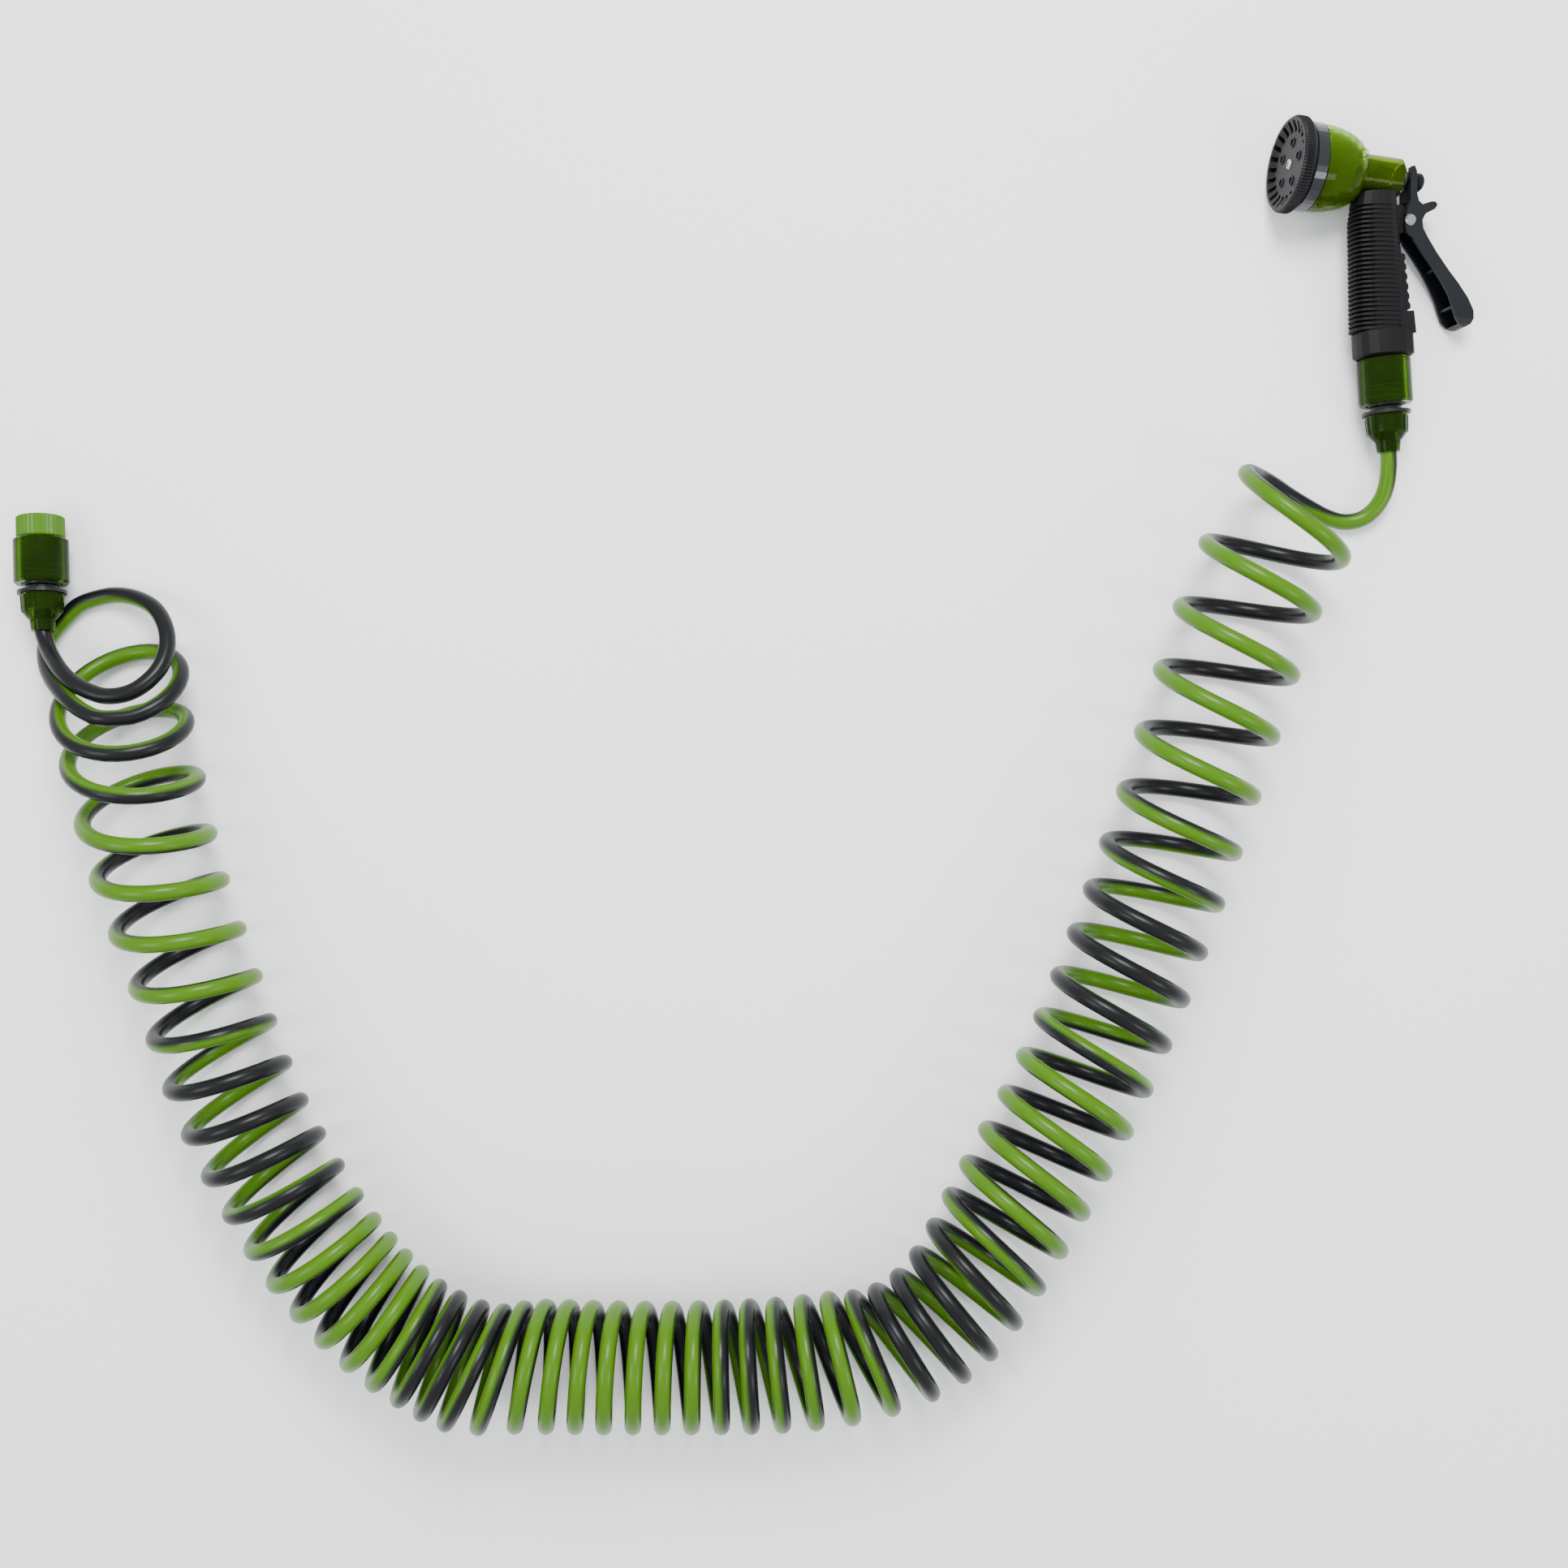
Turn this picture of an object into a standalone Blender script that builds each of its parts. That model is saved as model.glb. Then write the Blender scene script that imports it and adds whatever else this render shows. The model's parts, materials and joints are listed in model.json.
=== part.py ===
"""Coiled garden hose with a tap connector and a trigger spray gun, lying on a level floor.

Metres, +Z up. +X runs from the tap end to the gun end, +Y from the bottom of the U to its arms.
The origin is under the middle of the fittings and gun, on the floor.
"""

import bmesh
import bpy
from math import cos, pi, radians, sin
from mathutils import Matrix, Vector

GAP = 0.0003                    # left between pieces that touch

# Hose and coil
HOSE_R = 0.0057                 # outside radius of the hose
# Route of the coil: turn, x and y of its middle in mm, the way it runs in degrees from -Y towards +X,
# the degrees that its top strand leans that way, and the radius of the hose's own line in mm
ROUTE = (
    (2, -436, -208, 5, 52, 43.5), (3, -431, -239, 1, 39, 42.0), (4, -422, -275, 0, 27, 41.0),
    (5, -412, -316, 4, 17, 40.0), (6, -403, -351, 9, 13, 39.0), (8, -378, -422, 16, 8, 38.0),
    (10, -356, -487, 23, 4, 38.0), (12, -331, -542, 30, 3, 38.0), (15, -289, -609, 39, 4, 38.5),
    (18, -247, -655, 57, 4, 38.5), (20, -217, -676, 65, 3, 38.5), (22, -185, -689, 68, 1, 40.0),
    (24, -146, -688, 83, 0, 39.5), (27, -91, -689, 91, 0, 39.0), (30, -33, -689, 94, 1, 39.0),
    (33, 25, -687, 101, 1, 40.0), (35, 68, -682, 109, 2, 40.5), (37, 112, -671, 127, 3, 39.5),
    (39, 146, -645, 135, 4, 40.0), (42, 187, -578, 146, 5, 42.0), (45, 229, -500, 153, 4, 42.0),
    (48, 266, -412, 159, -1, 42.0), (51, 301, -313, 164, -6, 42.0), (54, 340, -189, 162, -8, 43.0),
    (55, 356, -145, 161, -9, 43.0), (56, 378, -105, 155, -8, 43.5), (57, 413, -50, 140, -8, 44.0),
)
TAP_JOIN = 2.06                 # turn at which the lead from the tap reaches the coil
GUN_JOIN = 56.25
COIL_START = 4.08               # turn at which the coil's solid begins
COIL_END = 55.44                # and ends
COIL_STATIONS = 24
# Centre of the hose between each nut and the coil, with the pulled-out first turn
TAP_LEAD = (
    (-0.4893, -0.1852, 0.0255), (-0.4856, -0.1923, 0.0290), (-0.4793, -0.2001, 0.0352),
    (-0.4710, -0.2084, 0.0425), (-0.4612, -0.2160, 0.0480), (-0.4492, -0.2223, 0.0510),
    (-0.4364, -0.2257, 0.0520), (-0.4219, -0.2235, 0.0515), (-0.4106, -0.2161, 0.0485),
    (-0.4025, -0.2045, 0.0430), (-0.4005, -0.1894, 0.0355), (-0.4048, -0.1746, 0.0280),
    (-0.4148, -0.1619, 0.0205), (-0.4298, -0.1543, 0.0135), (-0.4460, -0.1515, 0.0085),
    (-0.4608, -0.1536, 0.0062), (-0.4730, -0.1582, 0.0060), (-0.4815, -0.1657, 0.0060),
    (-0.4907, -0.1762, 0.0064), (-0.4949, -0.1869, 0.0105), (-0.4916, -0.1979, 0.0200),
    (-0.4843, -0.2094, 0.0310), (-0.4734, -0.2202, 0.0425), (-0.4613, -0.2297, 0.0520),
    (-0.4489, -0.2372, 0.0580), (-0.4360, -0.2412, 0.0615),
)
GUN_LEAD = (
    (0.4559, -0.0620, 0.0180), (0.4555, -0.0730, 0.0155), (0.4531, -0.0829, 0.0125),
    (0.4476, -0.0917, 0.0098), (0.4391, -0.0977, 0.0075), (0.4274, -0.0992, 0.0062),
    (0.4153, -0.0957, 0.0060), (0.4025, -0.0889, 0.0064), (0.3882, -0.0813, 0.0100),
    (0.3746, -0.0745, 0.0175), (0.3624, -0.0704, 0.0270), (0.3528, -0.0698, 0.0400),
)
TAP_STATIONS = 40
GUN_STATIONS = 18

# Connectors, along their axis from the hose's exit
NUT_IN = 0.008                  # how far the hose reaches into its nut
NUT_L = 0.0262
FLANGE_T = 0.0022
NECK_R = 0.0105
FLANGE_R = 0.0166
SLEEVE_R = 0.0186
SLEEVE_BORE_R = 0.0136
SLEEVE_START = 0.0334
SOCKET_R = 0.0082               # socket that takes the nipple
SOCKET_START = 0.046
NIPPLE_R = 0.0078
CONNECTOR_L = 0.0632
SEAT = 0.0026                   # from the connector's end to the shoulder of what plugs into it
SLEEVE_L = CONNECTOR_L + SEAT - 0.0008 - SLEEVE_START

# Tap adaptor
ADAPTOR_START = CONNECTOR_L + SEAT
ADAPTOR_L = 0.0152
ADAPTOR_R = 0.0163
ADAPTOR_RIB = 0.0006
ADAPTOR_RIBS = 36
TAP_BORE_R = 0.0131
TAP_BORE_L = 0.0112

# Where the two connectors lie: the hose's exit from the nut, and the way the axis runs
TAP_EXIT = Vector((-0.4917, -0.1785, 0.0240))
TAP_TURN = radians(3.2)         # from +Y towards -X, seen from above
TAP_DIP = radians(4.5)          # the tap end lies lower than the hose's exit
GUN_EXIT = Vector((0.4557, -0.0519, 0.0183))
GUN_TURN = radians(4.0)
GUN_DIP = radians(-1.7)         # the head end of the handle lies higher than the hose's exit
GUN_ROLL = radians(9.0)         # the head's side of the gun lies higher than the trigger's

# Spray gun, in the handle's frame: +Y up from its foot, +X to the trigger, the middle plane at Z = 0
BLOCK_L = 0.0184                # foot of the handle
BLOCK_HALF = (0.0205, 0.0150)
GRIP_TOP = 0.1143
GRIP_MID_X = 0.0015
GRIP_HALF_LOW = 0.0172
GRIP_HALF_HIGH = 0.0132
GRIP_HALF_Z = 0.0128
FIN_DEPTH = 0.0070
SLOT_PITCH = 0.0032             # slots of the comb on the front of the grip
SLOT_W = 0.0017
SLOT_START = BLOCK_L + 0.0019
SLOT_END = GRIP_TOP - 0.0075
SLOT_COUNT = int((SLOT_END - SLOT_START) / SLOT_PITCH)
GROOVE = 0.0008                 # depth of the slots along the sides of the grip
GROOVE_REACH = 0.0240           # how far the slots run back along its sides
BUMP_COUNT = 6                  # under the fingers, on the back of the grip
BUMP_PITCH = 0.0068
BUMP = 0.0010
BUMP_START = BLOCK_L + 0.0128
BARREL_BACK = Vector((0.0192, 0.1243, 0.0))
BARREL_RISE = radians(8.9)      # the barrel's axis rises towards the spray dial
BARREL_R = 0.0142
BARREL_BORE_R = 0.0112
NECK_AT = 0.0304                # along the barrel from its back
COLLAR_AT = 0.0644
COLLAR_L = 0.0104
COLLAR_R = 0.0300
DIAL_R = 0.0328
DIAL_L = 0.0092
DIAL_RECESS = 0.0030
STEM_R = 0.0024
STEM_PLAY = 0.0008
GLAND_R = 0.0092
GLAND_L = 0.0022
KNOB_R = 0.0064
KNOB_L = 0.0062
PIVOT = Vector((0.0226, 0.0942, 0.0))
PIN_R = 0.0019
PIN_HEAD_R = 0.0042
PIN_PLAY = 0.0004
LEVER_HALF = 0.0082             # half the trigger's width at the pivot
LUG_HALF = 0.0044
LUG_ROOM = (0.0838, 0.1088)      # height of the trigger's slot for the pivot lug

GREEN = (0.16, 0.40, 0.02, 1.0)
CLEAR_GREEN = (0.10, 0.30, 0.02, 0.75)
BLACK = (0.018, 0.018, 0.020, 1.0)
CHARCOAL = (0.030, 0.032, 0.036, 1.0)
STEEL = (0.62, 0.62, 0.60, 1.0)


def start_empty():
    for ob in list(bpy.data.objects):
        bpy.data.objects.remove(ob, do_unlink=True)
    groups = []
    for name in ("garden_hose", "cutters"):
        group = bpy.data.collections.new(name)
        bpy.context.scene.collection.children.link(group)
        groups.append(group)
    return groups


PARTS, CUTTERS = start_empty()


def finish(name):
    """Material of a slot, made once."""
    mat = bpy.data.materials.get(name)
    if mat is None:
        colour, rough, metal = FINISHES[name]
        mat = bpy.data.materials.new(name)
        mat.use_nodes = True
        shader = mat.node_tree.nodes["Principled BSDF"]
        shader.inputs["Base Color"].default_value = colour
        shader.inputs["Roughness"].default_value = rough
        shader.inputs["Metallic"].default_value = metal
    return mat


FINISHES = {
    "hose": ((0.13, 0.30, 0.02, 1.0), 0.30, 0.0),
    "bright_green": (GREEN, 0.35, 0.0),
    "clear_green": (CLEAR_GREEN, 0.18, 0.0),
    "inner_black": (BLACK, 0.40, 0.0),
    "grip_black": (BLACK, 0.60, 0.0),
    "trigger_grey": (CHARCOAL, 0.45, 0.0),
    "dial_black": (BLACK, 0.50, 0.0),
    "collar_gloss": (CHARCOAL, 0.15, 0.0),
    "seal": ((0.02, 0.02, 0.02, 1.0), 0.70, 0.0),
    "steel": (STEEL, 0.25, 1.0),
}


def place(ob, slot, frame):
    ob.matrix_world = frame
    if slot is None:
        CUTTERS.objects.link(ob)
        ob.hide_render = True
        ob.display_type = "WIRE"
    else:
        PARTS.objects.link(ob)
        ob.data.materials.append(finish(slot))
    return ob


def mesh_object(name, bm, slot, frame):
    mesh = bpy.data.meshes.new(name)
    bm.to_mesh(mesh)
    bm.free()
    return place(bpy.data.objects.new(name, mesh), slot, frame)


def turned(name, profile, slot, frame, steps=40, ring=False):
    """Solid turned about the frame's Z. profile is (radius, height), from the top down the outside."""
    bm = bmesh.new()
    verts = [bm.verts.new((r, 0.0, h)) for r, h in profile]
    for a, b in zip(verts, verts[1:]):
        bm.edges.new((a, b))
    if ring:
        bm.edges.new((verts[-1], verts[0]))
    ob = mesh_object(name, bm, slot, frame)
    screw = ob.modifiers.new("turn", "SCREW")
    screw.axis = "Z"
    screw.angle = 2 * pi
    screw.screw_offset = 0.0
    screw.steps = screw.render_steps = steps
    screw.use_merge_vertices = True
    screw.merge_threshold = 0.00001
    weld = ob.modifiers.new("weld", "WELD")
    weld.merge_threshold = 0.00001
    return ob


def loft(name, rings, slot, frame):
    """Closed solid through rings of the same number of points, each seen anticlockwise from the end."""
    bm = bmesh.new()
    loops = [[bm.verts.new(p) for p in ring] for ring in rings]
    count = len(loops[0])
    for low, high in zip(loops, loops[1:]):
        for i in range(count):
            j = (i + 1) % count
            bm.faces.new((low[i], low[j], high[j], high[i]))
    bm.faces.new(list(reversed(loops[0])))
    bm.faces.new(loops[-1])
    bmesh.ops.recalc_face_normals(bm, faces=bm.faces)
    return mesh_object(name, bm, slot, frame)


def plate(name, outline, half, slot, frame, edge=0.0):
    """Flat outline in the frame's XY plane, made solid to half on each side."""
    rings = [[(x, y, z) for x, y in outline] for z in (-half, half)]
    ob = loft(name, rings, slot, frame)
    if edge:
        soften(ob, edge)
    return ob


def soften(ob, width, segments=2):
    bevel = ob.modifiers.new("edge", "BEVEL")
    bevel.width = width
    bevel.segments = segments
    bevel.limit_method = "ANGLE"
    bevel.angle_limit = radians(40)
    return bevel


def box(name, low, high, slot, frame, edge=0.0):
    outline = [(low[0], low[1]), (high[0], low[1]), (high[0], high[1]), (low[0], high[1])]
    rings = [[(x, y, z) for x, y in outline] for z in (low[2], high[2])]
    ob = loft(name, rings, slot, frame)
    if edge:
        soften(ob, edge)
    return ob


def combine(ob, other, operation):
    boolean = ob.modifiers.new(operation.lower(), "BOOLEAN")
    boolean.operation = operation
    boolean.solver = "EXACT"
    boolean.object = other
    return ob


def tube(name, points, radii, slot, resolution=2):
    """Round tube with filled ends through a smooth line of points, with a radius at each."""
    curve = bpy.data.curves.new(name, "CURVE")
    curve.dimensions = "3D"
    curve.bevel_depth = 1.0
    curve.bevel_resolution = resolution
    curve.use_fill_caps = True
    spline = curve.splines.new("POLY")
    spline.points.add(len(points) - 1)
    for p, co, radius in zip(spline.points, points, radii):
        p.co = (co[0], co[1], co[2], 1.0)
        p.radius = radius
    return place(bpy.data.objects.new(name, curve), slot, Matrix.Identity(4))


def smooth(points, at):
    """Point of the smooth curve through points, at 0 for the first and 1 for the second."""
    i = min(max(int(at), 0), len(points) - 2)
    u = at - i
    a = points[max(i - 1, 0)]
    b, c = points[i], points[i + 1]
    d = points[min(i + 2, len(points) - 1)]
    return b + 0.5 * u * ((c - a) + u * ((2 * a - 5 * b + 4 * c - d) + u * (3 * (b - c) + d - a)))


def rounded(mid_x, mid_z, half_x, half_z, y, count=20, power=3.0):
    """Ring at height y with rounded corners, about (mid_x, mid_z)."""
    ring = []
    for i in range(count):
        a = 2 * pi * (i + 0.5) / count
        r = (abs(cos(a)) ** power + abs(sin(a)) ** power) ** (-1 / power)
        ring.append((mid_x + half_x * r * cos(a), y, mid_z - half_z * r * sin(a)))
    return ring


# The coil: its line, and the hose's line round it

def coil_at(turn):
    """Middle, direction, lean and radius of the coil at a turn, on a smooth curve through ROUTE."""
    last = len(ROUTE) - 1
    i = min(max(sum(row[0] <= turn for row in ROUTE) - 1, 0), last - 1)
    a, b, c, d = (Vector(ROUTE[min(max(j, 0), last)]) for j in (i - 1, i, i + 1, i + 2))
    step = c[0] - b[0]
    u = (turn - b[0]) / step
    leave = (c - a) * (step / (c[0] - a[0]))
    arrive = (d - b) * (step / (d[0] - b[0]))
    row = (b * (2 * u ** 3 - 3 * u ** 2 + 1) + leave * (u ** 3 - 2 * u ** 2 + u)
           + c * (3 * u ** 2 - 2 * u ** 3) + arrive * (u ** 3 - u ** 2))
    heading, lean, radius = radians(row[3]), radians(row[4]), row[5] / 1000
    middle = Vector((row[1] / 1000, row[2] / 1000, radius * cos(lean) + HOSE_R + GAP))
    return middle, Vector((sin(heading), -cos(heading), 0.0)), lean, radius


def hose_point(turn):
    """Point on the hose's own axis: a left-handed coil with its top strand at each whole turn."""
    middle, along, lean, radius = coil_at(turn)
    side = Vector((-along.y, along.x, 0.0))
    up = Vector((0.0, 0.0, 1.0)) * cos(lean) + along * sin(lean)
    angle = 2 * pi * turn
    return middle + radius * (sin(angle) * side + cos(angle) * up)


def along_through(points, count):
    """count points, evenly spaced by number, on the smooth curve through points."""
    last = len(points) - 1
    return [smooth(points, last * i / (count - 1)) for i in range(count)]


def build_coil():
    """Fat tube of the coil's outer size. Gives where the hose meets its two ends, and the way out."""
    line, radii = [], []
    for i in range(COIL_STATIONS):
        middle, along, lean, radius = coil_at(COIL_START + (COIL_END - COIL_START) * i / (COIL_STATIONS - 1))
        radii.append(radius + HOSE_R)
        line.append(Vector((middle.x, middle.y, radii[-1] + GAP)))
    tube("hose_coil", line, radii, "hose", 4)
    ends = []
    for centre, radius, along, out in ((line[0], radii[0], line[1] - line[0], -1),
                                       (line[-1], radii[-1], line[-1] - line[-2], 1)):
        along = along.normalized()
        back = Vector((along.y, -along.x, 0.0)).normalized()
        ends.append((centre + back * (radius - HOSE_R), along * out))
    return ends


def build_lead(name, frame, exit_point, lead, turns, end, stations):
    """Hose from its nut through the lead's points and the open turns to the end face of the coil."""
    start = exit_point + frame.to_3x3() @ Vector((0.0, NUT_IN - GAP, 0.0))
    route = [start, exit_point] + [Vector(p) for p in lead] + [hose_point(turn) for turn in turns]
    touch, away = end
    route.append(touch + away * (HOSE_R + 0.004))
    line = along_through(route, stations - 1) + [touch + away * (2 * GAP)]
    tube(name, line, [HOSE_R] * stations, "hose")


def build_leads(ends):
    tap_turns = [TAP_JOIN + i / 12 for i in range(21)]
    gun_turns = [GUN_JOIN - i / 12 for i in range(7)]
    build_lead("hose_tap_lead", TAP, TAP_EXIT, TAP_LEAD, tap_turns, ends[0], TAP_STATIONS)
    build_lead("hose_gun_lead", GUN, GUN_EXIT, GUN_LEAD, gun_turns, ends[1], GUN_STATIONS)


def frame_at(exit_point, turn, dip=0.0, roll=0.0):
    """Frame with +Y up the fitting's axis, set at the hose's exit."""
    return (Matrix.Translation(exit_point) @ Matrix.Rotation(turn, 4, "Z")
            @ Matrix.Rotation(-dip, 4, "X") @ Matrix.Rotation(roll, 4, "Y"))


UP_Y = Matrix.Rotation(-pi / 2, 4, "X")     # carries a turned piece's Z onto the frame's +Y
TAP = frame_at(TAP_EXIT, TAP_TURN, dip=TAP_DIP)
GUN = frame_at(GUN_EXIT, GUN_TURN, dip=GUN_DIP, roll=GUN_ROLL)
HANDLE = GUN @ Matrix.Translation((0.0, CONNECTOR_L + SEAT + 0.0004, 0.0))


def build_connector(prefix, frame):
    axis = frame @ UP_Y
    nut_top = NUT_L - GAP
    turned(prefix + "_hose_nut", [
        (HOSE_R + 0.0003, nut_top - 0.0110), (0.0110, nut_top - 0.0110), (0.0110, nut_top),
        (0.0144, nut_top), (0.0138, 0.0135), (0.0098, 0.0085), (0.0088, 0.0075),
        (0.0078, 0.0), (HOSE_R + 0.0003, 0.0)], "clear_green", axis, 36, ring=True)
    flange = NUT_L + FLANGE_T
    turned(prefix + "_connector_body", [
        (SOCKET_R, CONNECTOR_L), (0.0112, CONNECTOR_L), (0.0128, CONNECTOR_L - 0.003),
        (0.0130, SLEEVE_START + 0.004), (0.0122, SLEEVE_START - 0.001), (NECK_R, SLEEVE_START - 0.002),
        (NECK_R, flange), (FLANGE_R, flange), (FLANGE_R, NUT_L), (0.0106, NUT_L),
        (0.0104, NUT_IN + 0.008), (0.0040, NUT_IN + 0.008), (0.0040, SOCKET_START),
        (SOCKET_R, SOCKET_START)], "inner_black", axis, 36, ring=True)
    top = SLEEVE_START + SLEEVE_L
    turned(prefix + "_sleeve", [
        (SLEEVE_BORE_R, top), (SLEEVE_R - 0.0008, top), (SLEEVE_R, top - 0.0008),
        (SLEEVE_R, SLEEVE_START + 0.0012), (SLEEVE_R - 0.0012, SLEEVE_START),
        (SLEEVE_BORE_R, SLEEVE_START)], "clear_green", axis, 48, ring=True)


def nipple_outline(shoulder):
    """Spigot that plugs into a connector's socket, from inside the shoulder of its own piece."""
    tip = SOCKET_START + 0.0012
    return [(0.0, shoulder + 0.001), (0.0099, shoulder + 0.001), (0.0099, shoulder - 0.0013),
            (NIPPLE_R, shoulder - 0.0021), (NIPPLE_R, tip + 0.0018), (NIPPLE_R - 0.001, tip), (0.0, tip)]


def build_adaptor(frame):
    axis = frame @ UP_Y
    base, top = ADAPTOR_START, ADAPTOR_START + ADAPTOR_L
    rings = []
    for height, shrink in ((base, 0.0008), (base + 0.0010, 0.0), (top - 0.0008, 0.0), (top, 0.0006)):
        ring = []
        for i in range(2 * ADAPTOR_RIBS):
            a = pi * i / ADAPTOR_RIBS
            r = ADAPTOR_R - shrink - (ADAPTOR_RIB if i % 2 else 0.0)
            ring.append((r * cos(a), r * sin(a), height))
        rings.append(ring)
    body = loft("tap_adaptor", rings, "bright_green", axis)
    nipple = turned("adaptor_nipple", nipple_outline(base), None, axis, 32)
    combine(body, nipple, "UNION")
    bore = turned("adaptor_bore", [
        (0.0, top + 0.002), (TAP_BORE_R, top + 0.002), (TAP_BORE_R, top - TAP_BORE_L),
        (0.0050, top - TAP_BORE_L), (0.0050, SOCKET_START - 0.002), (0.0, SOCKET_START - 0.002)],
        None, axis, 32)
    combine(body, bore, "DIFFERENCE")
    floor = top - TAP_BORE_L + GAP
    turned("tap_washer", [
        (0.0060, floor + 0.0022), (TAP_BORE_R - 0.0004, floor + 0.0022),
        (TAP_BORE_R - 0.0004, floor), (0.0060, floor)], "seal", axis, 32, ring=True)


def grip_half(y):
    """Half of the grip's depth at height y, without the comb."""
    u = min(1.0, (y - BLOCK_L) / (GRIP_TOP - BLOCK_L) * 1.25)
    return GRIP_HALF_LOW + (GRIP_HALF_HIGH - GRIP_HALF_LOW) * u


def build_grip():
    low, high = 0.0, BLOCK_L
    half_x, half_z = BLOCK_HALF
    rings = [
        rounded(0.0005, 0.0, half_x - 0.0020, half_z - 0.0015, low),
        rounded(0.0005, 0.0, half_x, half_z, low + 0.0015),
        rounded(0.0005, 0.0, half_x, half_z, high - 0.0012),
        rounded(0.0005, 0.0, half_x - 0.0015, half_z - 0.0010, high),
    ]
    stations = 6
    for i in range(stations):
        u = i / (stations - 1)
        y = high + 0.0004 + (GRIP_TOP - high - 0.0004) * u
        left = GRIP_MID_X - grip_half(y) - FIN_DEPTH * (1.0 if i < stations - 1 else 0.35)
        right = GRIP_MID_X + grip_half(y)
        rings.append(rounded((left + right) / 2, 0.0, (right - left) / 2, GRIP_HALF_Z, y))
    grip = loft("gun_grip", rings, "grip_black", HANDLE)

    # the foot runs up the back of the grip, with the bumps for the fingers above it
    foot = plate("foot_back", [
        (0.0, BLOCK_L - 0.0034), (half_x - 0.0002, BLOCK_L - 0.0034),
        (half_x - 0.0009, BUMP_START - 0.0010), (0.0, BUMP_START - 0.0010)], 0.0112, None, HANDLE)
    combine(grip, foot, "UNION")
    outline = [(0.0, BUMP_START)]
    for i in range(BUMP_COUNT):
        y = BUMP_START + i * BUMP_PITCH
        edge = GRIP_MID_X + grip_half(y) - 0.0004
        outline += [(edge, y + 0.0006), (edge + BUMP, y + 0.0014), (edge + BUMP, y + 0.0042),
                    (edge, y + 0.0056)]
    outline.append((0.0, outline[-1][1]))
    combine(grip, plate("finger_bumps", outline, 0.0085, None, HANDLE), "UNION")

    lug = plate("pivot_lug", [
        (0.0100, 0.0798), (0.0165, 0.0865), (0.0255, 0.0883), (0.0280, 0.0938), (0.0262, 0.0998),
        (0.0175, 0.1058), (0.0100, 0.1063)], LUG_HALF, None, HANDLE)
    combine(grip, lug, "UNION")
    nipple = turned("grip_nipple", nipple_outline(CONNECTOR_L + SEAT + 0.0004), None, GUN @ UP_Y, 32)
    combine(grip, nipple, "UNION")

    # one slot of the comb, repeated up the handle: deep at the front, and a groove at the sides
    root_low = GRIP_MID_X - GRIP_HALF_LOW
    slope = -(GRIP_HALF_LOW - GRIP_HALF_HIGH) * 1.25 / (GRIP_TOP - high)
    slot_frame = HANDLE @ Matrix.Translation((root_low, SLOT_START, 0.0)) @ Matrix.Rotation(slope, 4, "Z")
    slots = box("comb_slots", (-0.020, 0.0, -0.030), (GROOVE_REACH, SLOT_W, 0.030), None, slot_frame)
    array = slots.modifiers.new("repeat", "ARRAY")
    array.count = SLOT_COUNT
    array.use_relative_offset = False
    array.use_constant_offset = True
    array.constant_offset_displace = (0.0, SLOT_PITCH, 0.0)
    core_half_z = GRIP_HALF_Z - GROOVE
    core = loft("comb_core", [
        rounded(GRIP_MID_X, 0.0, grip_half(y), core_half_z, y)
        for y in (BLOCK_L, BLOCK_L + (GRIP_TOP - BLOCK_L) * 0.8, GRIP_TOP)], None, HANDLE)
    combine(slots, core, "DIFFERENCE")
    combine(grip, slots, "DIFFERENCE")

    saddle = turned("barrel_saddle", [
        (0.0, 0.060), (BARREL_R + GAP, 0.060), (BARREL_R + GAP, -0.020), (0.0, -0.020)],
        None, BARREL, 40)
    combine(grip, saddle, "DIFFERENCE")
    bell_room = turned("bell_room", bell_outline(GAP) + [(0.0, NECK_AT - 0.012)], None, BARREL, 40)
    combine(grip, bell_room, "DIFFERENCE")
    pin_hole = turned("pin_hole", [
        (0.0, 0.020), (PIN_R + 0.0002, 0.020), (PIN_R + 0.0002, -0.020), (0.0, -0.020)],
        None, HANDLE @ Matrix.Translation(PIVOT), 20)
    combine(grip, pin_hole, "DIFFERENCE")


def bell_outline(grow=0.0):
    """Outside of the bell, from its wide end back to the barrel, with its first point on the axis."""
    points = [(0.0, COLLAR_AT), (COLLAR_R - 0.0004 + grow, COLLAR_AT)]
    for i in range(1, 9):
        a = pi / 2 * i / 8
        points.append((BARREL_R + (COLLAR_R - 0.0004 - BARREL_R) * cos(a) + grow,
                       COLLAR_AT - (COLLAR_AT - NECK_AT) * sin(a)))
    return points


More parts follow.
